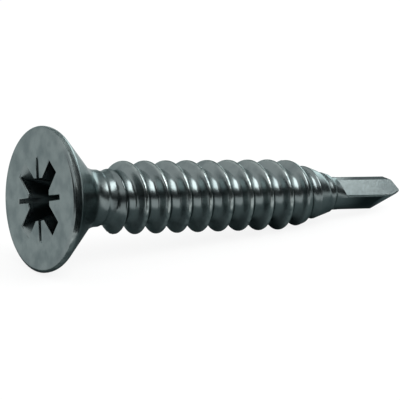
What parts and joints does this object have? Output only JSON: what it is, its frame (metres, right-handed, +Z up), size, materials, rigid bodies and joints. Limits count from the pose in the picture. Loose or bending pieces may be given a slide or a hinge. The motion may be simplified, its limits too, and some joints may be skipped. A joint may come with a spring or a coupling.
{
  "type": "self drilling screw",
  "caption": "Countersunk self drilling screw with a type Z cross recess, a coarse right-hand tapping thread and a two-flute drill point, lying on its side.",
  "frame": {"origin": "bottom centre of the lying screw's box, on the surface it rests on", "axes": "+X along the screw towards its tip, +Z up; the shank dips 7.2 degrees towards the tip"},
  "size_m": [0.0252, 0.008, 0.008],
  "materials": {
    "screw": "zinc plated and dark passivated, semi-bright"
  },
  "bodies": {
    "root": {"screw": "screw"}
  },
  "joints": []
}
